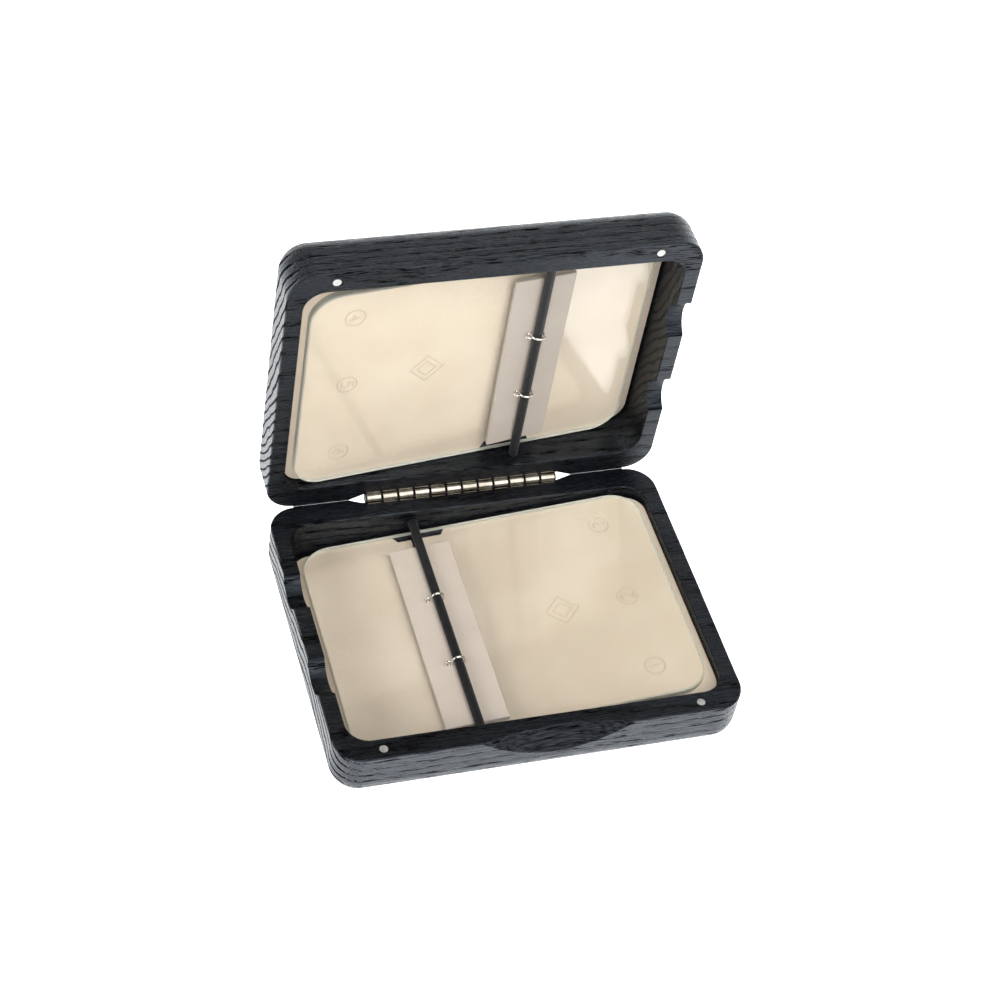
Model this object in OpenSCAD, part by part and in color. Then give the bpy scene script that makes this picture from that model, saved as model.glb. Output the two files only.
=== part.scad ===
// Hinged wooden reed case: two matching hollowed halves on a small barrel hinge.
// Each half holds a lining, a glass plate that slopes from side to side, and a
// strip that an elastic cord presses onto the plate to hold the reeds flat.
//
// Row frame: +Z up, X along the hinge, front edge of the case towards -Y,
// origin at the centre of the lower half's bottom face. Drawn with the lid open.

/* [Case] */
// Width of the case along the hinge
case_w = 100; // [90:1:130]
// Depth from the front edge to the hinge edge
case_d = 78; // [74:1:100]
// Height of each half
half_h = 14.4; // [14:0.1:20]
// Radius of the corners seen from above
corner_r = 7; // [6.5:0.1:12]
// Rounding between the outer walls and the outer face
edge_r = 5.8; // [3:0.1:6]
// Small bevel where the outer walls meet the rim
rim_bevel = 0.25; // [0.1:0.05:0.6]
// Angle of the lid from closed, as drawn
open_angle = 89; // [0:1:180]

/* [Walls and floor] */
// Thickness of the left and right walls
side_wall = 4.05; // [4:0.05:8]
// Thickness of the front wall
front_wall = 5.6; // [5:0.1:9]
// Thickness of the hinge wall
back_wall = 6.2; // [6:0.1:9]
// Radius of the hollow's corners
hollow_r = 5.5; // [3:0.1:8]
// Slope of the floor from side to side, in degrees
floor_slope = 5.6; // [0:0.1:5.6]
// Depth of the glass surface below the rim, at mid width
glass_depth = 5; // [5:0.1:6]

/* [Plate and lining] */
// Width of the glass plate
glass_w = 87; // [70:0.5:87]
// Depth of the glass plate, front to back
glass_d = 63.3; // [55:0.1:63.3]
// Thickness of the glass plate
glass_t = 2; // [1:0.1:2]
// Radius of the glass plate's corners
glass_r = 7.5; // [4:0.5:12]
// Gap from the hinge wall to the lower half's glass
base_glass_gap = 0.7; // [0.1:0.1:2]
// Gap from the hinge wall to the lid's glass
lid_glass_gap = 0.15; // [0.1:0.05:2]
// Thickness of the lining
lining_t = 1; // [0.6:0.1:1.2]
// Gap between the lower half's lining and the hinge wall
base_lining_gap = 0.9; // [0.2:0.1:2]
// Gap between the lid's lining and the hinge wall
lid_lining_gap = 0.3; // [0.2:0.1:2]

/* [Reed strip] */
// Width of the reed strip
strip_w = 15.4; // [10:0.1:20]
// Length of the reed strip
strip_l = 55; // [40:1:58]
// Thickness of the reed strip
strip_t = 1.2; // [0.8:0.1:1.3]
// Distance of the reed strip from mid width, towards the deep side
strip_x = 13.7; // [10:0.1:20]
// Gap from the hinge wall to the lower half's strip
base_strip_gap = 7.2; // [2:0.1:8]
// Gap from the hinge wall to the lid's strip
lid_strip_gap = 4.6; // [2:0.1:8]
// Distance from each end of the strip to its staple
staple_inset = 17.6; // [8:0.1:20]
// Diameter of the elastic cord
cord_dia = 2.3; // [1.5:0.1:2.3]
// Diameter of the staples' wire
wire_dia = 0.6; // [0.4:0.05:0.7]

/* [Hinge] */
// Number of knuckles along the barrel
knuckles = 12; // [4:2:16]
// Length of one knuckle with its gap
knuckle_pitch = 4.15; // [3.6:0.05:4.5]
// Outer diameter of the barrel
barrel_dia = 2.6; // [2:0.1:3]
// Diameter of the hinge pin
pin_dia = 1.2; // [0.8:0.1:1.3]
// Thickness of the hinge leaves
leaf_t = 0.5; // [0.3:0.05:0.6]
// Width of a leaf, down from the hinge axis
leaf_w = 6.5; // [4:0.5:8]

/* [Openings in the walls] */
// Distance from mid depth to each side notch
notch_offset = 13; // [10:0.5:18]
// Width of a side notch at the rim
notch_w = 11; // [6:0.5:14]
// Depth of a side notch below the rim
notch_depth = 3.3; // [1.5:0.1:4]
// Width of the finger scoop along the front rim
scoop_w = 38; // [24:1:50]
// Bite of the scoop into the front rim
scoop_bite = 2.4; // [1:0.1:3]
// Height of the scoop down the front wall
scoop_drop = 7.1; // [4:0.1:8]
// Distance of the scoop's middle from mid width
scoop_x = 2.7; // [-5:0.1:5]

/* [Magnets] */
// Diameter of the closing magnets
magnet_dia = 2; // [1.5:0.1:3]
// Length of the closing magnets
magnet_l = 4; // [2:0.5:6]
// Distance from mid width to each magnet
magnet_x = 38.7; // [20:0.1:39]
// Distance of each magnet from the front edge
magnet_inset = 2.8; // [2.2:0.1:3.5]

/* [Hidden] */

$fn = 96;
small_fn = 48;          // facets of wires, magnets and knuckles
over = 1;               // how far cutters run past what they cut

rim_gap = 0.06;         // between the two rims when closed
back_gap = 0.06;        // between the two hinge walls when opened flat
glue = 0.02;            // film between pieces that are glued together
strip_clear = 0.1;      // reed strip above the glass at rest
leaf_clear = 0.05;      // leaf in its saw cut, each side
magnet_clear = 0.12;    // magnet in its hole, all round

hollow_w = case_w - 2 * side_wall;
hollow_d = case_d - front_wall - back_wall;
hollow_y = -back_wall - hollow_d / 2;       // middle of the hollow, from the hinge edge
lining_depth = glass_t + 2 * glue + lining_t;
lining_clear = 0.2;     // lining from the left and right walls
glass_x = 0.4;          // glass plate's middle from mid width

// Pocket in the lining under the strip's hinge end, where the cord goes into the wall
pocket_w = 14.4;
pocket_x = 1.3;         // from the strip's middle
pocket_taper = 1.7;     // how much each side draws in
pocket_front = 2.6;     // reach from the hinge wall
slot_w = 1.5;           // narrow slot from the pocket to under the strip
slot_x = 0.6;           // slot's right side from the pocket's middle, leftwards
slot_reach = 5.6;
cord_lift = strip_clear + strip_t + cord_dia / 2 + 0.1;   // cord's axis above the glass
cord_socket = 3.4;      // depth of the cord's hole in each wall
cord_hole_dia = cord_dia + 0.1;

axis_y = case_d / 2 + back_gap / 2;
axis_z = half_h + rim_gap / 2;
barrel_r = barrel_dia / 2;
groove_r = barrel_r + 0.25;
groove_taper = 3.6;     // run-out of the groove past each end of the barrel
barrel_l = knuckles * knuckle_pitch;
knuckle_gap = 0.28;
pin_bore_dia = pin_dia + 0.1;
leaf_stand = 0.15;      // between the barrel and the leaf in front of it
leaf_y = -barrel_r - leaf_stand - leaf_t;
leaf_top = -0.12;       // leaf's edge, just under the rim
bridge_h = 0.5;         // bridge from a leaf to each of its knuckles
bridge_bite = 0.3;      // how far the bridge runs into the knuckle
bevel_depth = 0.2;      // small bevel round the hollow's mouth

wood = [0.12, 0.125, 0.14];
cream = [0.89, 0.82, 0.71];
strip_cream = [0.88, 0.82, 0.75];
nickel = [0.78, 0.74, 0.68];

// ---- placing ----------------------------------------------------------

// Half frame: rim in the plane z = 0, hinge edge along y = 0, hollow below the rim.
module in_base() {
    translate([0, case_d / 2, half_h]) children();
}

// The lid is the same half turned over, then opened about the hinge axis.
module in_lid() {
    turn_with_lid() translate([0, case_d / 2, half_h + rim_gap]) rotate([0, 180, 0]) children();
}

module turn_with_lid() {
    translate([0, axis_y, axis_z]) rotate([-open_angle, 0, 0])
        translate([0, -axis_y, -axis_z]) children();
}

// Slope frame of a half: z = 0 is the top of the glass
module on_slope() {
    translate([0, 0, -glass_depth]) rotate([0, -floor_slope, 0]) children();
}

// ---- general shapes ----------------------------------------------------

module rounded_rect(w, d, r) {
    square([w - 2 * r, d], center = true);
    square([w, d - 2 * r], center = true);
    for (sx = [-1, 1], sy = [-1, 1])
        translate([sx * (w / 2 - r), sy * (d / 2 - r)]) circle(r);
}

// A block with rounded corners, swept from an edge profile. children(0) is the
// profile from a corner's axis outwards, z upwards; inner_z is its height range.
module swept_block(w, d, r, inner_z) {
    for (sx = [-1, 1], sy = [-1, 1])
        translate([sx * (w / 2 - r), sy * (d / 2 - r), 0]) rotate_extrude() children(0);
    rotate([90, 0, 90]) linear_extrude(w - 2 * r, center = true)
        wide_section(d, r, inner_z) children(0);
    rotate([90, 0, 0]) linear_extrude(d - 2 * r, center = true)
        wide_section(w, r, inner_z) children(0);
}

module wide_section(width, r, inner_z) {
    for (side = [0, 1])
        mirror([side, 0]) translate([width / 2 - r, 0]) children(0);
    translate([-width / 2 + r, inner_z[0]]) square([width - 2 * r, inner_z[1] - inner_z[0]]);
}

// ---- one half of the case ----------------------------------------------

module outer_profile() {
    polygon([[0, edge_r - half_h], [corner_r, edge_r - half_h], [corner_r, -rim_bevel],
        [corner_r - rim_bevel, 0], [0, 0]]);
    translate([0, -half_h]) square([corner_r - edge_r, edge_r]);
    intersection() {
        translate([corner_r - edge_r, edge_r - half_h]) circle(edge_r);
        translate([corner_r - edge_r, -half_h]) square([edge_r, edge_r]);
    }
}

// The straight stretch of the hinge edge stays square, so that the halves meet there
module outer_block() {
    translate([0, -case_d / 2, 0])
        swept_block(case_w, case_d, corner_r, [-half_h, 0]) outer_profile();
    translate([corner_r - case_w / 2, -rim_bevel, -rim_bevel])
        cube([case_w - 2 * corner_r, rim_bevel, rim_bevel]);
}

// The hollow has upright walls, a sloping floor and a small bevel at its mouth
module hollow() {
    intersection() {
        translate([0, hollow_y, -half_h]) linear_extrude(half_h + over)
            rounded_rect(hollow_w, hollow_d, hollow_r);
        on_slope() translate([-case_w, -2 * case_d, -lining_depth])
            cube([2 * case_w, 3 * case_d, 3 * half_h]);
    }
    translate([0, hollow_y, 0])
        swept_block(hollow_w + 2 * bevel_depth, hollow_d + 2 * bevel_depth,
            hollow_r + bevel_depth, [-bevel_depth, over])
            mouth_profile(hollow_r + bevel_depth);
}

module mouth_profile(r) {
    polygon([[0, -bevel_depth], [r - bevel_depth, -bevel_depth], [r, 0], [r, over], [0, over]]);
}

// Cylindrical scoops through the wall on the deep side
module side_notches() {
    notch_r = (pow(notch_w / 2, 2) + pow(notch_depth, 2)) / (2 * notch_depth);
    for (side = [-1, 1])
        translate([-case_w / 2 - over, hollow_y + side * notch_offset, notch_r - notch_depth])
            rotate([0, 90, 0]) cylinder(h = side_wall + 2 * over, r = notch_r);
}

// Bevelled groove for the barrel, tapering out at both ends
module hinge_groove() {
    for (side = [0, 1])
        mirror([side, 0, 0]) rotate([0, 90, 0]) {
            cylinder(h = barrel_l / 2 + 0.4, r = groove_r, $fn = small_fn);
            translate([0, 0, barrel_l / 2 + 0.4])
                cylinder(h = groove_taper, r1 = groove_r, r2 = 0.05, $fn = small_fn);
        }
}

module leaf_saw_cut() {
    translate([-barrel_l / 2 - leaf_clear, leaf_y - leaf_clear, -leaf_w - leaf_clear])
        cube([barrel_l + 2 * leaf_clear, leaf_t + 2 * leaf_clear, leaf_w + over]);
}

module magnet_holes() {
    for (side = [-1, 1])
        translate([side * magnet_x, magnet_inset - case_d, -magnet_l])
            cylinder(h = magnet_l + over, d = magnet_dia + 2 * magnet_clear, $fn = small_fn);
}

module cord_holes() {
    on_slope() translate([-strip_x, -back_wall + cord_socket, cord_lift]) rotate([90, 0, 0])
        cylinder(h = hollow_d + 2 * cord_socket, d = cord_hole_dia, $fn = small_fn);
}

module half_shell() {
    difference() {
        outer_block();
        hollow();
        side_notches();
        magnet_holes();
        cord_holes();
        translate([0, back_gap / 2, rim_gap / 2]) {
            hinge_groove();
            leaf_saw_cut();
        }
    }
}

// A large tilted cylinder takes a shallow bite from the front rim
module finger_scoop() {
    tilt = atan(scoop_bite / scoop_drop);
    bite = scoop_bite * cos(tilt);
    scoop_r = (pow(scoop_w / 2, 2) + pow(bite, 2)) / (2 * bite);
    translate([scoop_x, scoop_bite - case_d, 0]) rotate([-tilt, 0, 0])
        translate([0, -scoop_r, -2 * half_h]) cylinder(h = 4 * half_h, r = scoop_r, $fn = 360);
}

module half_lining(gap) {
    on_slope() translate([0, 0, -lining_depth + glue])
        linear_extrude(lining_t) difference() {
            translate([0, hollow_y - gap / 2])
                rounded_rect(hollow_w - 2 * lining_clear, hollow_d - gap - lining_clear / 2, hollow_r);
            translate([pocket_x - strip_x, -back_wall]) {
                polygon([[-pocket_w / 2, 0], [pocket_taper - pocket_w / 2, -pocket_front],
                    [pocket_w / 2 - pocket_taper, -pocket_front], [pocket_w / 2, 0]]);
                translate([-slot_w - slot_x, -slot_reach]) square([slot_w, slot_reach]);
            }
        }
}

module half_glass(gap) {
    on_slope() translate([glass_x, -back_wall - gap - glass_d / 2, -glass_t])
        linear_extrude(glass_t) rounded_rect(glass_w, glass_d, glass_r);
}

module half_cord() {
    on_slope() translate([-strip_x, -back_wall + cord_socket - glue, cord_lift])
        rotate([90, 0, 0])
            cylinder(h = hollow_d + 2 * (cord_socket - glue), d = cord_dia, $fn = small_fn);
}

module half_magnet(side) {
    translate([side * magnet_x, magnet_inset - case_d, -magnet_l])
        cylinder(h = magnet_l - magnet_clear, d = magnet_dia, $fn = small_fn);
}

// ---- reed strip and its staples ----------------------------------------

module half_strip(gap) {
    leg_hole = wire_dia + 0.04;
    on_slope() translate([-strip_x, -back_wall - gap, strip_clear]) difference() {
        translate([0, -strip_l / 2, 0]) linear_extrude(strip_t)
            rounded_rect(strip_w, strip_l, 0.6);
        for (y = [-staple_inset, staple_inset - strip_l], side = [-1, 1])
            translate([side * arch_r(), y, -over])
                cylinder(h = strip_t + 2 * over, d = leg_hole, $fn = small_fn);
    }
}

function arch_r() = cord_dia / 2 + 0.15 + wire_dia / 2;

// Wire arch over the cord, legs down through the strip, the end on one side curled outwards
module half_staple(gap, along, curl_side) {
    arch_z = cord_lift;
    leg_foot = strip_clear + 0.05;
    curl_r = 0.75;
    on_slope() translate([-strip_x, -back_wall - gap - along, 0]) {
        translate([0, 0, arch_z]) rotate([90, 0, 0])
            rotate_extrude(angle = 180) translate([arch_r(), 0]) circle(d = wire_dia, $fn = small_fn);
        for (side = [-1, 1])
            translate([side * arch_r(), 0, leg_foot])
                cylinder(h = arch_z - leg_foot, d = wire_dia, $fn = small_fn);
        mirror([curl_side > 0 ? 1 : 0, 0, 0])
            translate([-arch_r() - curl_r, 0, strip_clear + strip_t + curl_r + wire_dia / 2 + 0.05])
                rotate([90, 0, 0]) rotate_extrude(angle = 300)
                    translate([curl_r, 0]) circle(d = wire_dia * 0.8, $fn = small_fn);
    }
}

// ---- hinge --------------------------------------------------------------

// Knuckles of one leaf: first = 0 takes the knuckle at the left end, 1 the next one
module knuckle_row(first) {
    for (i = [first : 2 : knuckles - 1])
        translate([-barrel_l / 2 + i * knuckle_pitch + knuckle_gap / 2, 0, 0])
            children();
}

// The leaf stands in its saw cut in front of the barrel; short bridges carry its knuckles
module leaf(first) {
    knuckle_l = knuckle_pitch - knuckle_gap;
    difference() {
        union() {
            knuckle_row(first) {
                rotate([0, 90, 0]) cylinder(h = knuckle_l, d = barrel_dia, $fn = small_fn);
                translate([0, leaf_y, leaf_top - bridge_h])
                    cube([knuckle_l, bridge_bite - barrel_r - leaf_y, bridge_h]);
            }
            translate([-barrel_l / 2, leaf_y, -leaf_w]) cube([barrel_l, leaf_t, leaf_w + leaf_top]);
        }
        translate([-barrel_l / 2 - over, 0, 0]) rotate([0, 90, 0])
            cylinder(h = barrel_l + 2 * over, d = pin_bore_dia, $fn = small_fn);
    }
}

// ---- nodes ---------------------------------------------------------------

module base_shell() {
    color(wood) in_base() difference() {
        half_shell();
        finger_scoop();
    }
}

module base_lining() { color(cream) in_base() half_lining(base_lining_gap); }
module base_glass_plate() { color([0.85, 0.93, 0.9, 0.35]) in_base() half_glass(base_glass_gap); }
module base_elastic_cord() { color([0.06, 0.06, 0.08]) in_base() half_cord(); }
module base_magnet_left() { color("silver") in_base() half_magnet(-1); }
module base_magnet_right() { color("silver") in_base() half_magnet(1); }
module base_reed_strip() { color(strip_cream) in_base() half_strip(base_strip_gap); }
module base_staple_back() {
    color("silver") in_base() half_staple(base_strip_gap, staple_inset, -1);
}
module base_staple_front() {
    color("silver") in_base() half_staple(base_strip_gap, strip_l - staple_inset, -1);
}

module lid_shell() { color(wood) in_lid() half_shell(); }
module lid_lining() { color(cream) in_lid() half_lining(lid_lining_gap); }
module lid_glass_plate() { color([0.85, 0.93, 0.9, 0.35]) in_lid() half_glass(lid_glass_gap); }
module lid_elastic_cord() { color([0.06, 0.06, 0.08]) in_lid() half_cord(); }
module lid_magnet_left() { color("silver") in_lid() half_magnet(1); }
module lid_magnet_right() { color("silver") in_lid() half_magnet(-1); }
module lid_reed_strip() { color(strip_cream) in_lid() half_strip(lid_strip_gap); }
module lid_staple_back() {
    color("silver") in_lid() half_staple(lid_strip_gap, staple_inset, 1);
}
module lid_staple_front() {
    color("silver") in_lid() half_staple(lid_strip_gap, strip_l - staple_inset, 1);
}

module hinge_leaf_base() {
    color(nickel) translate([0, axis_y, axis_z]) leaf(1);
}

module hinge_leaf_lid() {
    color(nickel) turn_with_lid() translate([0, axis_y, axis_z]) mirror([0, 0, 1]) leaf(0);
}

module hinge_pin() {
    color(nickel) translate([-barrel_l / 2 + knuckle_gap / 2, axis_y, axis_z])
        rotate([0, 90, 0])
            cylinder(h = barrel_l - knuckle_gap, d = pin_dia, $fn = small_fn);
}

base_shell();
base_lining();
base_glass_plate();
base_elastic_cord();
base_magnet_left();
base_magnet_right();
base_reed_strip();
base_staple_back();
base_staple_front();
lid_shell();
lid_lining();
lid_glass_plate();
lid_elastic_cord();
lid_magnet_left();
lid_magnet_right();
lid_reed_strip();
lid_staple_back();
lid_staple_front();
hinge_leaf_base();
hinge_leaf_lid();
hinge_pin();
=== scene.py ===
"""Looks of a hinged wooden reed case, built around its CAD frame. Units are metres."""
import math
import bmesh
import bpy
from mathutils import Matrix, Vector


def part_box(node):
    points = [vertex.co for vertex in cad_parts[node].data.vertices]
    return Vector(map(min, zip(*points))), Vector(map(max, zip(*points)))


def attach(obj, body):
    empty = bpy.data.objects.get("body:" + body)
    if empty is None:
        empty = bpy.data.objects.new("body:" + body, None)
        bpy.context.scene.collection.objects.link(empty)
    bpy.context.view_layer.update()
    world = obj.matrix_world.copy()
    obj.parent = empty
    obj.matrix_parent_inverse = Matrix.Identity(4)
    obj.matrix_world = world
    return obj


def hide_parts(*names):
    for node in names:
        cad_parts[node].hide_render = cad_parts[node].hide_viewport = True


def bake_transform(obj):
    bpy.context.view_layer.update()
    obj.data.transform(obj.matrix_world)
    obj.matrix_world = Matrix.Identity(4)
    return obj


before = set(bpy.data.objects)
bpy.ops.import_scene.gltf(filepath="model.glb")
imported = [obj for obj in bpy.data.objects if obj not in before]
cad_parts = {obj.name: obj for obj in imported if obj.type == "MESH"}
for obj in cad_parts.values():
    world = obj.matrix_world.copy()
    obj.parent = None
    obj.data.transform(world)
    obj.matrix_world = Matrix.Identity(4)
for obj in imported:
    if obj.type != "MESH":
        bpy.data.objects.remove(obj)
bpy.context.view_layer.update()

MM = 0.001
TAU = 2 * math.pi

# ---- driving dimensions ------------------------------------------------------------------
# Each pair in a dict is for the lower half, "base", and for the lid.
HALVES = ("base", "lid")
OPEN_ANGLE = math.radians(89)    # of the lid from closed, at rest
CORNER_R = 7.0 * MM              # of the case seen from above
SIDE_WALL = 4.05 * MM
FRONT_WALL = 5.6 * MM
BACK_WALL = 6.2 * MM             # hinge wall of a half
KNUCKLES = 12
GROOVE_END = 28.9 * MM           # where the hinge groove has run out, from mid width

SLOPE = math.radians(5.6)        # of the glass and lining, from side to side
GLASS_DEPTH = 5.0 * MM           # top of the glass below the rim, at mid width
GLASS_W = 87.0 * MM
GLASS_D = 63.3 * MM
GLASS_T = 2.0 * MM
GLASS_R = 7.5 * MM
GLASS_X = 0.4 * MM               # middle of the glass from mid width
GLASS_ARRIS = 0.3 * MM
GLASS_GAP = {"base": 0.7 * MM, "lid": 0.15 * MM}     # to the hinge wall

LINING_T = 1.0 * MM
LINING_R = 5.5 * MM
LINING_TOP = -GLASS_T - 0.04 * MM
LINING_CLEAR = 0.2 * MM          # to each side wall
LINING_FRONT_CLEAR = 0.1 * MM
LINING_GAP = {"base": 0.9 * MM, "lid": 0.3 * MM}     # to the hinge wall

STRIP_X = -13.7 * MM             # middle line of strip and cord
STRIP_W = 15.4 * MM
STRIP_L = 55.0 * MM
STRIP_T = 1.15 * MM
STRIP_CLEAR = 0.12 * MM          # strip's outer side above the glass
STRIP_CROWN = 0.10 * MM
STRIP_WAVE = 0.06 * MM           # unevenness of its leather along its length
STRIP_GAP = {"base": 7.2 * MM, "lid": 4.6 * MM}      # to the hinge wall
STRIP_RISE = {"base": 0.35 * MM, "lid": 0.9 * MM}    # of its inner side, at the hinge end
STRIP_TIP_RISE = 0.1 * MM                            # and at the front end
STAPLE_INSET = 17.6 * MM         # of a staple from the strip's end

CORD_DIA = 2.3 * MM
CORD_LIFT = 2.55 * MM            # cord's axis above the glass
CORD_SOCKET = 3.38 * MM          # of cord hidden in each wall

# Widths of the softened edges
WOOD_EDGE = 0.03 * MM
STAPLE_EDGE = 0.05 * MM
HINGE_EDGE = 0.07 * MM
MAGNET_EDGE = 0.12 * MM
LINING_EDGE = 0.12 * MM
STRIP_EDGE = 0.22 * MM


# ---- places ------------------------------------------------------------------------------
def half_matrix(half):
    """Half frame to row frame. Half frame: rim in z = 0, hinge edge along y = 0, hollow below."""
    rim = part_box("base_shell")[1]
    if half == "base":
        return Matrix.Translation((0, rim.y, rim.z))
    pin_low, pin_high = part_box("hinge_pin")
    axis = Vector((0, (pin_low.y + pin_high.y) / 2, (pin_low.z + pin_high.z) / 2))
    closed = Matrix.Translation((0, rim.y, 2 * axis.z - rim.z)) @ Matrix.Rotation(math.pi, 4, "Y")
    turn = Matrix.Rotation(-OPEN_ANGLE, 4, "X")
    return Matrix.Translation(axis) @ turn @ Matrix.Translation(-axis) @ closed


def slope_matrix(half):
    """Slope frame to row frame. z = 0 is the top of the glass."""
    tilt = Matrix.Rotation(-SLOPE, 4, "Y")
    return half_matrix(half) @ Matrix.Translation((0, 0, -GLASS_DEPTH)) @ tilt


CASE_LOW, CASE_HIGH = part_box("base_shell")
CASE_W = CASE_HIGH.x - CASE_LOW.x
CASE_D = CASE_HIGH.y - CASE_LOW.y
HOLLOW_W = CASE_W - 2 * SIDE_WALL
HOLLOW_D = CASE_D - FRONT_WALL - BACK_WALL


# ---- mesh helpers ------------------------------------------------------------------------
def new_object(name, bm, matrix, smooth=True):
    """Finished object from a bmesh given in another frame; its place goes into the mesh."""
    bmesh.ops.recalc_face_normals(bm, faces=bm.faces)
    bm.transform(matrix)
    mesh = bpy.data.meshes.new(name)
    bm.to_mesh(mesh)
    bm.free()
    for polygon in mesh.polygons:
        polygon.use_smooth = smooth
    obj = bpy.data.objects.new(name, mesh)
    bpy.context.collection.objects.link(obj)
    return obj


def finish_piece(obj, body, slot, nodes, *materials):
    """Materials for a piece, the body it rides on, and the CAD nodes it stands for."""
    for material in materials:
        obj.data.materials.append(material)
    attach(obj, body)
    if nodes:
        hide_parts(*nodes)


def bevel(obj, width, segments=2, angle=40):
    modifier = obj.modifiers.new("Edges", "BEVEL")
    modifier.width = width
    modifier.segments = segments
    modifier.limit_method = "ANGLE"
    modifier.angle_limit = math.radians(angle)
    modifier.harden_normals = True


def apply_modifiers(obj):
    graph = bpy.context.evaluated_depsgraph_get()
    mesh = bpy.data.meshes.new_from_object(obj.evaluated_get(graph))
    obj.modifiers.clear()
    old, obj.data = obj.data, mesh
    bpy.data.meshes.remove(old)


def rounded_outline(width, depth, radius, centre=(0, 0), steps=14):
    """Points of a rounded rectangle, anticlockwise from its right side."""
    points = []
    for k, (sx, sy) in enumerate(((1, 1), (-1, 1), (-1, -1), (1, -1))):
        cx = centre[0] + sx * (width / 2 - radius)
        cy = centre[1] + sy * (depth / 2 - radius)
        for i in range(steps + 1):
            a = (k + i / steps) * math.pi / 2
            points.append((cx + radius * math.cos(a), cy + radius * math.sin(a)))
    return points


def plate(bm, outline, bottom, top):
    """Closed plate of one outline between two heights."""
    low = [bm.verts.new((x, y, bottom)) for x, y in outline]
    high = [bm.verts.new((x, y, top)) for x, y in outline]
    bm.faces.new(low)
    bm.faces.new(high)
    count = len(outline)
    for i in range(count):
        j = (i + 1) % count
        bm.faces.new((low[i], low[j], high[j], high[i]))


def sweep(bm, points, radius_of, sides, closed=False):
    """Tube along level points, capped or closed on itself; radius_of(i, angle) is its radius."""
    rings = []
    count = len(points)
    for i, point in enumerate(points):
        if closed:
            ahead = points[(i + 1) % count] - points[i - 1]
        else:
            ahead = points[min(i + 1, count - 1)] - points[max(i - 1, 0)]
        side = ahead.cross(Vector((0, 0, 1))).normalized()
        up = side.cross(ahead).normalized()
        ring = []
        for s in range(sides):
            a = TAU * s / sides
            reach = side * math.cos(a) + up * math.sin(a)
            ring.append(bm.verts.new(point + reach * radius_of(i, a)))
        rings.append(ring)
    following = rings[1:] + (rings[:1] if closed else [])
    for first, second in zip(rings, following):
        for s in range(sides):
            t = (s + 1) % sides
            bm.faces.new((first[s], first[t], second[t], second[s]))
    if not closed:
        bm.faces.new(rings[0])
        bm.faces.new(rings[-1])


# ---- material helpers --------------------------------------------------------------------
class Shader:
    """One node material with a Principled surface, and short calls to build it."""

    def __init__(self, name, **sockets):
        self.material = bpy.data.materials.new(name)
        self.material.use_nodes = True
        self.tree = self.material.node_tree
        self.surface = self.tree.nodes["Principled BSDF"]
        self.output = self.tree.nodes["Material Output"]
        for socket, value in sockets.items():
            self.surface.inputs[socket.replace("_", " ")].default_value = value

    def node(self, kind, inputs=None, **settings):
        made = self.tree.nodes.new("ShaderNode" + kind)
        for key, value in settings.items():
            setattr(made, key, value)
        for key, value in (inputs or {}).items():
            if isinstance(value, bpy.types.NodeSocket):
                self.tree.links.new(value, made.inputs[key])
            else:
                made.inputs[key].default_value = value
        return made

    def place(self, matrix=None, stretch=(1, 1, 1)):
        """Object coordinates in millimetres, taken into the frame of matrix, then stretched."""
        vector = self.node("TexCoord").outputs["Object"]
        if matrix is not None:
            back = matrix.inverted()
            vector = self.node("Mapping", {"Vector": vector, "Location": back.to_translation(),
                                           "Rotation": back.to_euler()}).outputs[0]
        scale = [s / MM for s in stretch]
        return self.node("Mapping", {"Vector": vector, "Scale": scale}).outputs[0]

    def facing(self, matrix):
        """Parts of the surface normal along the axes of the frame of matrix."""
        normal = self.node("TexCoord").outputs["Normal"]
        for axis in matrix.to_3x3().col:
            yield self.node("VectorMath", {0: normal, 1: axis}, operation="DOT_PRODUCT").outputs[1]

    def noise(self, vector, scale, detail=3.0, roughness=0.5):
        return self.node("TexNoise", {"Vector": vector, "Scale": scale, "Detail": detail,
                                      "Roughness": roughness}).outputs["Fac"]

    def math(self, operation, a, b=0.0):
        return self.node("Math", {0: a, 1: b}, operation=operation).outputs[0]

    def span(self, value, low, high, to_low=0.0, to_high=1.0):
        """value's range low..high taken smoothly to another range."""
        return self.node("MapRange", {"Value": value, "From Min": low, "From Max": high,
                                      "To Min": to_low, "To Max": to_high},
                         interpolation_type="SMOOTHSTEP").outputs[0]

    def mix(self, factor, first, second):
        made = self.node("Mix", {"Factor": factor}, data_type="RGBA")
        for socket, value in ((made.inputs[6], first), (made.inputs[7], second)):
            if isinstance(value, bpy.types.NodeSocket):
                self.tree.links.new(value, socket)
            else:
                socket.default_value = (*value, 1)
        return made.outputs[2]

    def bump(self, height, distance):
        return self.node("Bump", {"Height": height, "Distance": distance,
                                  "Strength": 1.0}).outputs[0]

    def let_lamps_through(self, color):
        """Glass whose shadow is only a faint tint."""
        clear = self.node("BsdfTransparent", {"Color": color})
        ray = self.node("LightPath").outputs["Is Shadow Ray"]
        both = self.node("MixShader", {0: ray, 1: self.surface.outputs[0], 2: clear.outputs[0]})
        self.tree.links.new(both.outputs[0], self.output.inputs["Surface"])

    def set(self, **sockets):
        """Links from other nodes to sockets of the surface."""
        for socket, value in sockets.items():
            self.tree.links.new(value, self.surface.inputs[socket.replace("_", " ")])


# ---- materials ---------------------------------------------------------------------------
RING_STEP = 2.3                  # mean width of a growth ring, in millimetres
HOLLOW_SIDE = 46.3               # the hollow's walls lie nearer mid width, in millimetres
OUTER_SIDE = 47.2                # and the outer walls farther off
LACQUER_IOR = 1.53               # where the lacquer is whole
BARE_IOR = 1.04                  # and where there is none: hardly any gloss


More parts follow.
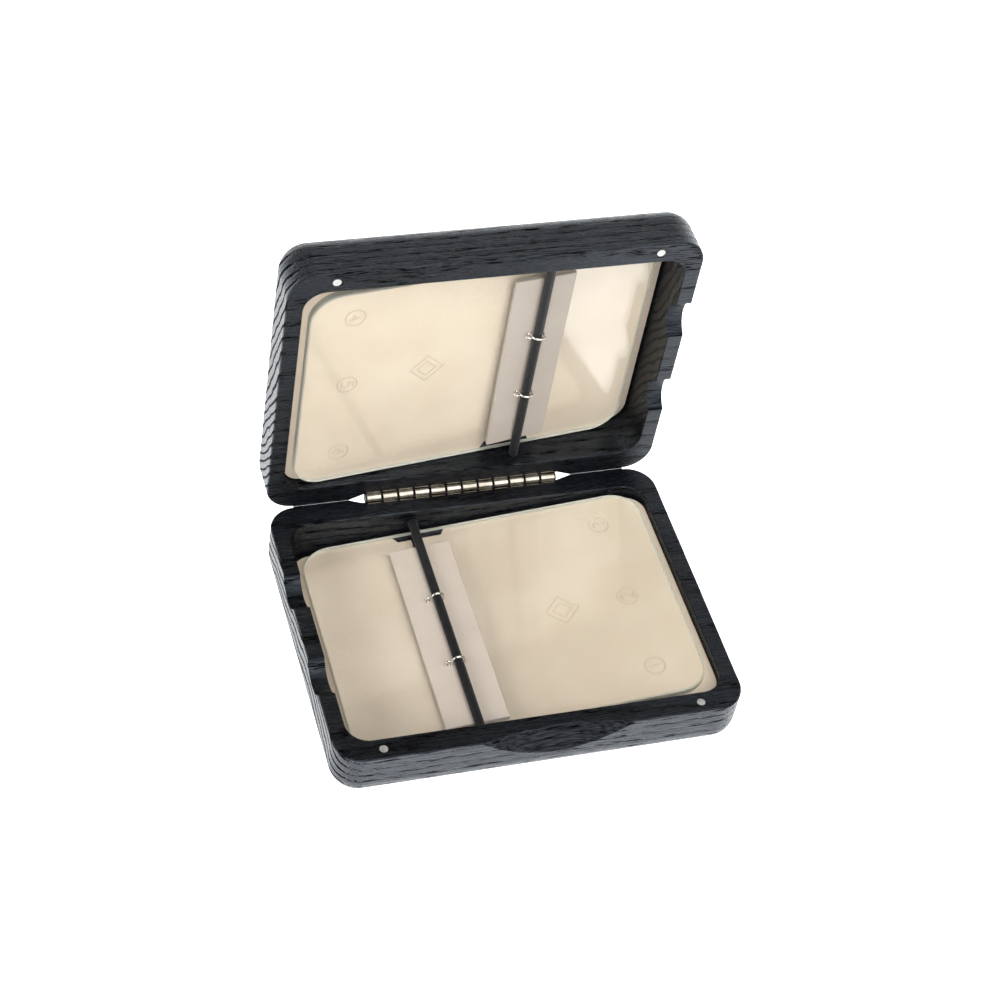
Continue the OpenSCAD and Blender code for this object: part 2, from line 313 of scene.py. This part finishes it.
def stained_ash(half, pith):
    """Black-stained, brushed ash under a thin satin lacquer. Growth rings stand round a pith
    line along X at pith = (y, z) of the half frame, in millimetres. Their soft wood is brushed
    out into grooves, deepest across the end grain of the outer walls."""
    s = Shader(half + "_stained_ash", Specular_Tint=(0.74, 0.86, 1.0, 1))
    matrix = half_matrix(half)
    where = s.place(matrix)
    wander = s.noise(s.place(matrix, (0.012, 0.045, 0.045)), 1.0, 2.0)
    shake = s.noise(s.place(matrix, (0.06, 0.5, 0.5)), 1.0, 3.0, 0.6)
    split = s.node("SeparateXYZ", {"Vector": where})
    y = s.math("SUBTRACT", split.outputs["Y"], pith[0])
    z = s.math("SUBTRACT", split.outputs["Z"], pith[1])
    radius = s.math("SQRT", s.math("ADD", s.math("MULTIPLY", y, y), s.math("MULTIPLY", z, z)))
    radius = s.math("ADD", radius, s.span(wander, 0, 1, -3, 3))
    radius = s.math("ADD", radius, s.span(shake, 0, 1, -0.25, 0.25))
    ring = s.math("FRACT", s.math("DIVIDE", radius, RING_STEP))
    groove = s.math("MULTIPLY", s.span(ring, 0.0, 0.10), s.span(ring, 0.52, 0.16))
    face_x, face_y, face_z = s.facing(matrix)
    off_middle = s.math("ABSOLUTE", split.outputs["X"])
    outside = s.span(off_middle, HOLLOW_SIDE, OUTER_SIDE, 0.3, 1.0)
    end_grain = s.math("MULTIPLY", outside, s.span(s.math("ABSOLUTE", face_x), 0.45, 0.85))
    rim = s.span(face_z, 0.90, 0.98)
    scooped = s.math("MULTIPLY", s.span(face_z, 0.12, 0.24), s.span(face_y, -0.75, -0.85))
    fibre = s.noise(s.place(matrix, (0.045, 3.2, 3.2)), 1.0, 4.0, 0.65)
    pore = s.noise(s.place(matrix, (0.20, 3.6, 3.6)), 1.0, 2.0, 0.6)
    pit = s.math("MULTIPLY", s.span(pore, 0.50, 0.60), s.span(groove, 0.0, 0.7, 0.35, 1.0))
    tone = s.mix(s.span(fibre, 0.3, 0.7), (0.0016, 0.0019, 0.0032), (0.0048, 0.0056, 0.0085))
    tone = s.mix(s.math("MULTIPLY", groove, 0.7), tone, (0.0014, 0.0015, 0.0020))
    tone = s.mix(pit, tone, (0.0010, 0.0010, 0.0012))
    cut = s.math("MULTIPLY", groove, s.span(end_grain, 0, 1, -0.16, -1.9))
    height = s.math("ADD", cut, s.math("MULTIPLY", pit, -0.45))
    height = s.math("ADD", height, s.math("MULTIPLY", fibre, 0.55))
    hollow = s.math("MAXIMUM", pit, s.math("MULTIPLY", groove, s.span(end_grain, 0, 1, 0.15, 1.0)))
    rough_cut = s.math("MULTIPLY", scooped, s.span(pore, 0.35, 0.60, 0.35, 0.7))
    dull = s.math("MAXIMUM", hollow, rough_cut)
    dull = s.math("MAXIMUM", dull, s.math("MULTIPLY", rim, 0.28))
    roughness = s.math("ADD", s.span(dull, 0, 1, 0.22, 0.45), s.span(fibre, 0, 1, -0.05, 0.08))
    s.set(Base_Color=tone, Normal=s.bump(height, 0.20 * MM), Roughness=roughness,
          IOR=s.span(dull, 0, 1, LACQUER_IOR, BARE_IOR))
    return s.material


def leather(name, light, dark):
    """Soft, fine-grained lining leather with cloudy tone and a dull nap."""
    s = Shader(name, Sheen_Weight=0.15, Sheen_Roughness=0.5, IOR=1.42)
    where = s.place()
    cloud = s.noise(where, 0.06, 3.0)
    grain = s.noise(where, 2.6, 5.0, 0.65)
    cell = s.node("TexVoronoi", {"Vector": where, "Scale": 2.2},
                  feature="SMOOTH_F1").outputs["Distance"]
    tone = s.mix(s.span(cloud, 0.3, 0.7), light, dark)
    tone = s.mix(s.span(grain, 0.35, 0.75, 0.0, 0.25), tone, tuple(c * 0.82 for c in dark))
    height = s.math("ADD", s.math("MULTIPLY", cell, -0.6), grain)
    s.set(Base_Color=tone, Normal=s.bump(height, 0.014 * MM),
          Roughness=s.span(grain, 0.2, 0.8, 0.62, 0.82))
    return s.material


def pressed(light):
    """Leather darkened and packed by a hot stamp."""
    s = Shader("pressed_leather", IOR=1.45)
    grain = s.noise(s.place(), 3.5, 4.0, 0.6)
    s.set(Base_Color=s.mix(grain, tuple(c * 0.93 for c in light), tuple(c * 0.80 for c in light)),
          Roughness=s.span(grain, 0.2, 0.8, 0.45, 0.6), Normal=s.bump(grain, 0.02 * MM))
    return s.material


def clear_glass():
    """Polished plate glass that lets lamps through to what lies under it."""
    s = Shader("plate_glass", Transmission_Weight=1.0, IOR=1.5)
    s.surface.inputs["Base Color"].default_value = (0.985, 0.99, 0.98, 1)
    smear = s.noise(s.place(stretch=(0.05, 0.05, 0.05)), 1.0, 3.0)
    s.set(Roughness=s.span(smear, 0.3, 0.8, 0.07, 0.11))
    s.let_lamps_through((0.93, 0.94, 0.92, 1))
    return s.material


def ground_glass():
    """Ground edge of the plate: greenish grey, dull, half see-through."""
    s = Shader("ground_glass_edge", Transmission_Weight=0.55, IOR=1.5)
    speck = s.noise(s.place(), 3.0, 4.0, 0.7)
    s.set(Base_Color=s.mix(speck, (0.62, 0.63, 0.53), (0.86, 0.85, 0.75)),
          Roughness=s.span(speck, 0.2, 0.8, 0.30, 0.55), Normal=s.bump(speck, 0.05 * MM))
    s.let_lamps_through((0.84, 0.85, 0.80, 1))
    return s.material


def elastic():
    """Black braided elastic: dull thread, a little lighter where it rubs."""
    s = Shader("black_elastic", Sheen_Weight=0.25, Sheen_Roughness=0.4, IOR=1.45)
    thread = s.noise(s.place(stretch=(3.0, 0.8, 3.0)), 1.0, 4.0, 0.7)
    s.set(Base_Color=s.mix(s.span(thread, 0.3, 0.7), (0.003, 0.003, 0.004), (0.010, 0.0105, 0.014)),
          Roughness=s.span(thread, 0.2, 0.8, 0.42, 0.7), Normal=s.bump(thread, 0.04 * MM))
    return s.material


def metal(name, bright, dull, roughness, stretch, metallic=1.0):
    """Plated metal with fine drawn scratches along its shortest stretch and cloudy tarnish."""
    s = Shader(name, Metallic=metallic)
    cloud = s.noise(s.place(), 0.5, 3.0)
    line = s.noise(s.place(stretch=stretch), 1.0, 4.0, 0.7)
    s.set(Base_Color=s.mix(s.span(cloud, 0.35, 0.75), bright, dull),
          Roughness=s.span(line, 0.2, 0.8, roughness * 0.7, roughness * 1.4),
          Normal=s.bump(line, 0.012 * MM))
    return s.material


# Painted shade on the hinge: off a joint, in knuckle lengths, where it is full and where it has
# ended; and off the pin's axis, in millimetres, where it starts, is full, is still full, and has
# ended
JOINT = (0.055, 0.085)
CREVICE = (1.32, 1.40, 1.60, 1.75)


def hinge_metal():
    """Nickel-plated hinge, with painted shade in the joints of the knuckles and behind the leaves.
    """
    s = Shader("hinge_nickel", Metallic=1.0)
    low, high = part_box("hinge_pin")
    middle = (low + high) / 2
    where = s.place(Matrix.Translation(middle))
    split = s.node("SeparateXYZ", {"Vector": where}).outputs
    pitch = (high.x - low.x) / KNUCKLES / MM
    knuckle = s.math("ADD", s.math("DIVIDE", split["X"], pitch), 0.5 + KNUCKLES / 2)
    off_joint = s.math("ABSOLUTE", s.math("SUBTRACT", s.math("FRACT", knuckle), 0.5))
    joint = s.span(off_joint, *JOINT, 1, 0)
    away = s.math("SQRT", s.math("ADD", s.math("MULTIPLY", split["Y"], split["Y"]),
                                 s.math("MULTIPLY", split["Z"], split["Z"])))
    inner, full, still_full, outer = CREVICE
    behind = s.math("MULTIPLY", s.span(away, inner, full), s.span(away, outer, still_full))
    # Painted shade: dark in the joints between knuckles and in the crevice behind the leaves, where
    # shade falls
    painted_shade = s.math("MAXIMUM", joint, behind)
    cloud = s.noise(where, 0.5, 3.0)
    line = s.noise(s.place(stretch=(0.15, 6, 6)), 1.0, 4.0, 0.7)
    plating = s.mix(s.span(cloud, 0.35, 0.75), (0.60, 0.55, 0.47), (0.42, 0.37, 0.30))
    roughness = s.math("ADD", s.span(line, 0.2, 0.8, 0.18, 0.36), s.math("MULTIPLY", painted_shade, 0.3))
    height = s.math("SUBTRACT", line, s.math("MULTIPLY", painted_shade, 8))
    # The plating is painted near black where the painted shade is full
    s.set(Base_Color=s.mix(painted_shade, plating, (0.012, 0.010, 0.009)), Roughness=roughness,
          Normal=s.bump(height, 0.012 * MM))
    return s.material


WOOD = {"base": stained_ash("base", (-46, -128)), "lid": stained_ash("lid", (-103, -119))}
LINING_LEATHER = leather("lining_leather", (0.83, 0.71, 0.575), (0.76, 0.635, 0.50))
PRESSED_LEATHER = pressed((0.80, 0.68, 0.545))
# Both strips are the same leather; the lid's copy is darker, painted shade on the lid's strip
STRIP_LEATHER = {"base": leather("base_strip_leather", (0.86, 0.755, 0.65), (0.79, 0.685, 0.58)),
                 "lid": leather("lid_strip_leather", (0.69, 0.61, 0.53), (0.63, 0.55, 0.47))}
GLASS = clear_glass()
GLASS_EDGE = ground_glass()
ELASTIC = elastic()
NICKEL = hinge_metal()
PIN_STEEL = metal("hinge_pin_steel", (0.05, 0.045, 0.04), (0.03, 0.027, 0.025), 0.45, (0.15, 6, 6))
MAGNET = metal("magnet_nickel", (0.80, 0.79, 0.76), (0.55, 0.54, 0.52), 0.50, (4, 4, 4), 0.65)
WIRE = metal("staple_wire", (0.92, 0.90, 0.84), (0.75, 0.72, 0.66), 0.14, (3, 3, 3))


# ---- wood and metal ----------------------------------------------------------------------
def dress(node, material, edge):
    """Better material and softened edges for a CAD node that is shown as it is."""
    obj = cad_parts[node]
    for slot in obj.material_slots:
        slot.material = material
    bevel(obj, edge)


# Section of the lip on the hinge edge, in millimetres: (behind the back wall, above the rim)
LIP = [(-0.02, -0.45), (0.03, -0.40), (0.045, -0.15), (0.045, 0.03), (0.04, 0.045),
       (-0.02, 0.045)]


def hinge_shade_lip(side):
    """Dark lip on the base's hinge edge, standing in for the shade in the slit where the two halves
    nearly touch; it closes the slit so that no light shows through.
    """
    bm = bmesh.new()
    ends = (side * GROOVE_END, side * (CASE_W / 2 - CORNER_R))
    rings = [[bm.verts.new((x, py * MM, pz * MM)) for py, pz in LIP] for x in ends]
    for ring in rings:
        bm.faces.new(ring)
    for i in range(len(LIP)):
        j = (i + 1) % len(LIP)
        bm.faces.new((rings[0][i], rings[0][j], rings[1][j], rings[1][i]))
    name = "base_hinge_lip_" + ("right" if side > 0 else "left")
    obj = new_object(name, bm, half_matrix("base"), smooth=False)
    finish_piece(obj, "base", "case_wood", [], WOOD["base"])


# ---- linings -----------------------------------------------------------------------------
STAMP_X = 32.5 * MM
STAMP_Y = (-60.7 * MM, -38.7 * MM, -15.2 * MM)       # first, second and third place
STAMP_R = 2.45 * MM
DIGIT_H = 3.0 * MM
STAMP_TUBE = 0.26 * MM
STAMP_SIDES = 10
STAMP_LIFT = 0.05 * MM                               # tube axis above the leather
EMBLEM = {"base": (15.7 * MM, -39.1 * MM), "lid": (12.4 * MM, -39.5 * MM)}
EMBLEM_REACH = (2.4 * MM, 4.2 * MM)                  # of its two nested diamonds
FIRST_PLACE = {"base": 1, "lid": 4}

POCKET_X = STRIP_X + 1.3 * MM                        # middle of the pocket behind the strip
POCKET_FRONT = -BACK_WALL - 2.6 * MM
POCKET_HALF_W = (6.6 * MM, 5.5 * MM)                 # at its back and at its front
SLOT_X = (POCKET_X - 2.1 * MM, POCKET_X - 0.6 * MM)  # slot from the pocket to the strip
SLOT_FRONT = -BACK_WALL - 5.6 * MM


def arc(cx, cy, r, start, end, steps=14):
    """Points of an arc between two angles in degrees."""
    return [(cx + r * math.cos(math.radians(start + (end - start) * i / steps)),
             cy + r * math.sin(math.radians(start + (end - start) * i / steps)))
            for i in range(steps + 1)]


# Strokes of each numeral, one high, about the middle of its height
NUMERALS = {
    1: [[(-0.14, 0.30), (0.04, 0.50), (0.04, -0.50)]],
    2: [arc(0, 0.23, 0.26, 165, -35) + [(-0.27, -0.50), (0.29, -0.50)]],
    3: [arc(0, 0.25, 0.24, 150, -90, 12) + arc(0, -0.24, 0.27, 90, -150, 12)],
    4: [[(0.10, -0.50), (0.10, 0.50), (-0.28, -0.20), (0.30, -0.20)]],
    5: [[(0.25, 0.50), (-0.20, 0.50), (-0.23, 0.06)] + arc(0, -0.18, 0.31, 130, -145, 16)],
    6: [[(0.20, 0.50)] + arc(0.24, -0.16, 0.50, 125, 170, 6) + arc(0, -0.22, 0.27, 165, -195, 20)],
}


def stamp_cutter(half):
    """Thin tubes along each ring, numeral and nested diamond, half sunk in the lining."""
    bm = bmesh.new()
    height = LINING_TOP + STAMP_LIFT
    strokes = []
    for k, y in enumerate(STAMP_Y):
        strokes.append([(STAMP_X + px, y + py) for px, py in arc(0, 0, STAMP_R, 0, 360, 40)])
        for stroke in NUMERALS[FIRST_PLACE[half] + k]:
            strokes.append([(STAMP_X - DIGIT_H * py, y + DIGIT_H * px) for px, py in stroke])
    for reach in EMBLEM_REACH:
        strokes.append(arc(*EMBLEM[half], reach, 0, 360, 4))
    for stroke in strokes:
        points = [Vector((px, py, height)) for px, py in stroke]
        closed = (points[0] - points[-1]).length < STAMP_TUBE
        sweep(bm, points[:-1] if closed else points, lambda i, a: STAMP_TUBE, STAMP_SIDES,
              closed)
    cutter = new_object(half + "_stamps", bm, slope_matrix(half))
    cutter.data.materials.append(PRESSED_LEATHER)
    return cutter


def lining(half):
    """Leather sheet with the pocket behind the strip, and three stamped places."""
    gap = LINING_GAP[half]
    width, depth = HOLLOW_W - 2 * LINING_CLEAR, HOLLOW_D - gap - LINING_FRONT_CLEAR
    centre = (0, -BACK_WALL - HOLLOW_D / 2 - gap / 2)
    back = centre[1] + depth / 2
    at_back, at_front = POCKET_HALF_W
    slot_left, slot_right = SLOT_X
    notch = [(POCKET_X + at_back, back), (POCKET_X + at_front, POCKET_FRONT),
             (slot_right, POCKET_FRONT), (slot_right, SLOT_FRONT), (slot_left, SLOT_FRONT),
             (slot_left, POCKET_FRONT), (POCKET_X - at_front, POCKET_FRONT),
             (POCKET_X - at_back, back)]
    outline = rounded_outline(width, depth, LINING_R, centre)
    after_first_corner = len(outline) // 4
    outline[after_first_corner:after_first_corner] = notch
    bm = bmesh.new()
    plate(bm, outline, LINING_TOP - LINING_T, LINING_TOP)
    obj = new_object(half + "_lining_leather", bm, slope_matrix(half), smooth=False)
    obj.data.materials.append(LINING_LEATHER)
    cutter = stamp_cutter(half)
    cut = obj.modifiers.new("Stamps", "BOOLEAN")
    cut.object = cutter
    cut.solver = "EXACT"
    cut.material_mode = "TRANSFER"
    cut.use_self = True
    apply_modifiers(obj)
    bpy.data.objects.remove(cutter)
    bevel(obj, LINING_EDGE, 2, 60)
    finish_piece(obj, half, "lining_leather", [half + "_lining"])


# ---- glass -------------------------------------------------------------------------------
def glass_plate(half):
    """Plate with polished faces and ground, slightly rounded edges."""
    centre = (GLASS_X, -BACK_WALL - GLASS_GAP[half] - GLASS_D / 2)
    bm = bmesh.new()
    arris = GLASS_ARRIS
    outer = rounded_outline(GLASS_W, GLASS_D, GLASS_R, centre)
    inner = rounded_outline(GLASS_W - 2 * arris, GLASS_D - 2 * arris, GLASS_R - arris, centre)
    rings = []
    for outline, z in ((inner, -GLASS_T), (outer, arris - GLASS_T), (outer, -arris), (inner, 0)):
        rings.append([bm.verts.new((x, y, z)) for x, y in outline])
    bm.faces.new(rings[0])
    bm.faces.new(rings[-1])
    for low, high in zip(rings, rings[1:]):
        for i in range(len(low)):
            j = (i + 1) % len(low)
            face = bm.faces.new((low[i], low[j], high[j], high[i]))
            face.material_index = 1
    obj = new_object(half + "_glass", bm, slope_matrix(half), smooth=False)
    finish_piece(obj, half, "plate_glass", [half + "_glass_plate"], GLASS, GLASS_EDGE)


# ---- reed strip --------------------------------------------------------------------------
def reed_strip(half):
    """Leather-faced strip, a little crowned, that stands off the glass along its inner side."""
    across, along = 22, 60
    y_back = -BACK_WALL - STRIP_GAP[half]
    bm = bmesh.new()
    grid = {}
    for top in (0, 1):
        for i in range(across + 1):
            for j in range(along + 1):
                u, v = i / across, j / along
                rise = STRIP_TIP_RISE + (STRIP_RISE[half] - STRIP_TIP_RISE) * (1 - v) ** 2
                lift = STRIP_CLEAR + rise * u ** 1.5
                bow = (STRIP_CROWN * math.sin(math.pi * u)
                       + STRIP_WAVE * math.sin(9 * v + 2 * u))
                z = lift + top * (STRIP_T + bow)
                x = STRIP_X + (u - 0.5) * STRIP_W
                grid[top, i, j] = bm.verts.new((x, y_back - v * STRIP_L, z))
    for top in (0, 1):
        for i in range(across):
            for j in range(along):
                bm.faces.new((grid[top, i, j], grid[top, i + 1, j],
                              grid[top, i + 1, j + 1], grid[top, i, j + 1]))
    edge = [(i, 0) for i in range(across)] + [(across, j) for j in range(along)]
    edge += [(across - i, along) for i in range(across)] + [(0, along - j) for j in range(along)]
    for (i, j), (k, m) in zip(edge, edge[1:] + edge[:1]):
        bm.faces.new((grid[0, i, j], grid[0, k, m], grid[1, k, m], grid[1, i, j]))
    obj = new_object(half + "_strip_leather", bm, slope_matrix(half))
    bevel(obj, STRIP_EDGE, 3, 50)
    finish_piece(obj, half + "_strip", "strip_leather", [half + "_reed_strip"],
                 STRIP_LEATHER[half])


# ---- elastic cord ------------------------------------------------------------------------
BRAID_STRANDS = 8
BRAID_PITCH = 7.0 * MM
BRAID_RELIEF = 0.055 * MM
CORD_STEP = 0.22 * MM
CORD_SIDES = 40
PINCH = 0.13 * MM                # off the cord's radius, under a staple
PINCH_REACH = 0.9 * MM           # to each side of it


def cord_span(half, name, y_from, y_to, pinches):
    """Braided cord between two places, squeezed a little under each staple in pinches."""
    count = int(abs(y_to - y_from) / CORD_STEP) + 1
    points = [Vector((STRIP_X, y_from + (y_to - y_from) * i / count, CORD_LIFT))
              for i in range(count + 1)]

    def radius_of(i, a):
        y = points[i].y
        turn = TAU * y / BRAID_PITCH
        weave = max(math.cos(BRAID_STRANDS * a / 2 + turn * BRAID_STRANDS / 4) ** 2,
                    math.cos(BRAID_STRANDS * a / 2 - turn * BRAID_STRANDS / 4) ** 2)
        squeeze = sum(math.exp(-((y - p) / PINCH_REACH) ** 2) for p in pinches)
        return CORD_DIA / 2 - BRAID_RELIEF * (1 - weave) - PINCH * squeeze

    bm = bmesh.new()
    sweep(bm, points, radius_of, CORD_SIDES)
    return new_object(f"{half}_cord_{name}", bm, slope_matrix(half))


def elastic_cord(half):
    """Cord in three spans: the outer two lie on the strip as far as its ends and run on level into
    the walls; only the middle one rides with the strip when it is lifted."""
    strip_back = -BACK_WALL - STRIP_GAP[half]
    strip_ends = (strip_back, strip_back - STRIP_L)
    staples = (strip_back - STAPLE_INSET, strip_back - STRIP_L + STAPLE_INSET)
    walls = (-BACK_WALL, FRONT_WALL - CASE_D)
    matrix = slope_matrix(half)
    strip_body = half + "_strip"
    middle = cord_span(half, "middle", *staples, staples)
    finish_piece(middle, strip_body, "cord_elastic", [half + "_elastic_cord"], ELASTIC)
    for name, wall, staple, strip_end in zip(("back", "front"), walls, staples, strip_ends):
        socket = CORD_SOCKET if name == "back" else -CORD_SOCKET
        span = cord_span(half, name, wall + socket, staple, staples)
        span.data.materials.append(ELASTIC)
        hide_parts(half + "_elastic_cord")
        start, end = (matrix @ Vector((STRIP_X, y, CORD_LIFT)) for y in (wall, strip_end))
        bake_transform(span)
        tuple(start)
        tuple(end)


# ---- the object --------------------------------------------------------------------------
for half in HALVES:
    dress(half + "_shell", WOOD[half], WOOD_EDGE)
    lining(half)
    glass_plate(half)
    reed_strip(half)
    elastic_cord(half)
    for side in ("left", "right"):
        dress(f"{half}_magnet_{side}", MAGNET, MAGNET_EDGE)
    for end in ("back", "front"):
        dress(f"{half}_staple_{end}", WIRE, STAPLE_EDGE)
for node in ("hinge_leaf_base", "hinge_leaf_lid"):
    dress(node, NICKEL, HINGE_EDGE)
dress("hinge_pin", PIN_STEEL, HINGE_EDGE)
# Dark lips that stand in for the shade in the slit along the hinge edge
for end_side in (-1, 1):
    hinge_shade_lip(end_side)


# ---- floor, lights, camera ---------------------------------------------------------------
TABLE_GLOW = 1.85                # as seen, and as it lights matt things
TABLE_GLOW_ON_MATT = 0.6
FLOOR_SIDE = 6.0
FLOOR_R = 0.5
FLOOR_TOP, FLOOR_BOTTOM = -0.1 * MM, -10 * MM


def pale_floor():
    """Plain white table top, lit from below, that throws less light on matt things."""
    s = Shader("pale_table")
    s.surface.inputs["Emission Color"].default_value = (0.97, 0.985, 1, 1)
    matt = s.node("LightPath").outputs["Is Diffuse Ray"]
    s.set(Emission_Strength=s.span(matt, 0, 1, TABLE_GLOW, TABLE_GLOW_ON_MATT))
    speck = s.noise(s.place(), 0.05, 2.0)
    s.set(Base_Color=s.mix(speck, (0.58, 0.58, 0.58), (0.62, 0.62, 0.62)),
          Roughness=s.span(speck, 0, 1, 0.6, 0.7))
    return s.material


def floor():
    bm = bmesh.new()
    plate(bm, rounded_outline(FLOOR_SIDE, FLOOR_SIDE, FLOOR_R), FLOOR_BOTTOM, FLOOR_TOP)
    obj = new_object("table_top", bm, Matrix.Identity(4), smooth=False)
    obj.data.materials.append(pale_floor())


def softbox(name, place, aim, size, power):
    """Rectangular area light; place and aim are in the row frame."""
    lamp = bpy.data.lights.new(name, "AREA")
    lamp.shape = "RECTANGLE"
    lamp.size, lamp.size_y = size
    lamp.energy = power
    obj = bpy.data.objects.new(name, lamp)
    obj.location = place
    obj.rotation_euler = (Vector(aim) - Vector(place)).to_track_quat("-Z", "Y").to_euler()
    bpy.context.collection.objects.link(obj)


def studio():
    """Dim room with wide lamps in front, above and at the left, and a low white wall behind."""
    world = bpy.data.worlds.new("studio")
    world.use_nodes = True
    world.node_tree.nodes["Background"].inputs["Color"].default_value = (0.93, 0.97, 1.0, 1)
    world.node_tree.nodes["Background"].inputs["Strength"].default_value = 0.10
    bpy.context.scene.world = world
    aim = (0, 0, 0.03)
    softbox("front", (0.25, -1.30, 0.85), aim, (1.3, 1.0), 10)
    softbox("overhead", (0.0, -0.45, 1.10), aim, (0.8, 0.6), 5.3)
    softbox("left", (-1.2, -0.2, 0.5), aim, (0.8, 0.7), 6.5)
    softbox("wall", (0.3, 1.1, 0.50), (0, 0, 0.10), (2.6, 0.95), 9)
    bpy.context.scene.view_settings.view_transform = "Standard"


def camera():
    """At the case's front left, above it, and turned a little about its own line of sight."""
    azimuth, elevation, roll = (math.radians(a) for a in (-24.204, 46.822, 11.334))
    distance = 588.3 * MM
    aim = Vector((4.9, 24.85, 24.26)) * MM
    back = Vector((math.sin(azimuth) * math.cos(elevation),
                   -math.cos(azimuth) * math.cos(elevation), math.sin(elevation)))
    data = bpy.data.cameras.new("camera")
    data.lens = 86.6
    data.sensor_width = 36
    data.clip_start, data.clip_end = 0.01, 20
    obj = bpy.data.objects.new("camera", data)
    obj.location = aim + back * distance
    turn = (-back).to_track_quat("-Z", "Y").to_matrix() @ Matrix.Rotation(roll, 3, "Z")
    obj.rotation_euler = turn.to_euler()
    bpy.context.collection.objects.link(obj)
    bpy.context.scene.camera = obj


floor()
studio()
camera()
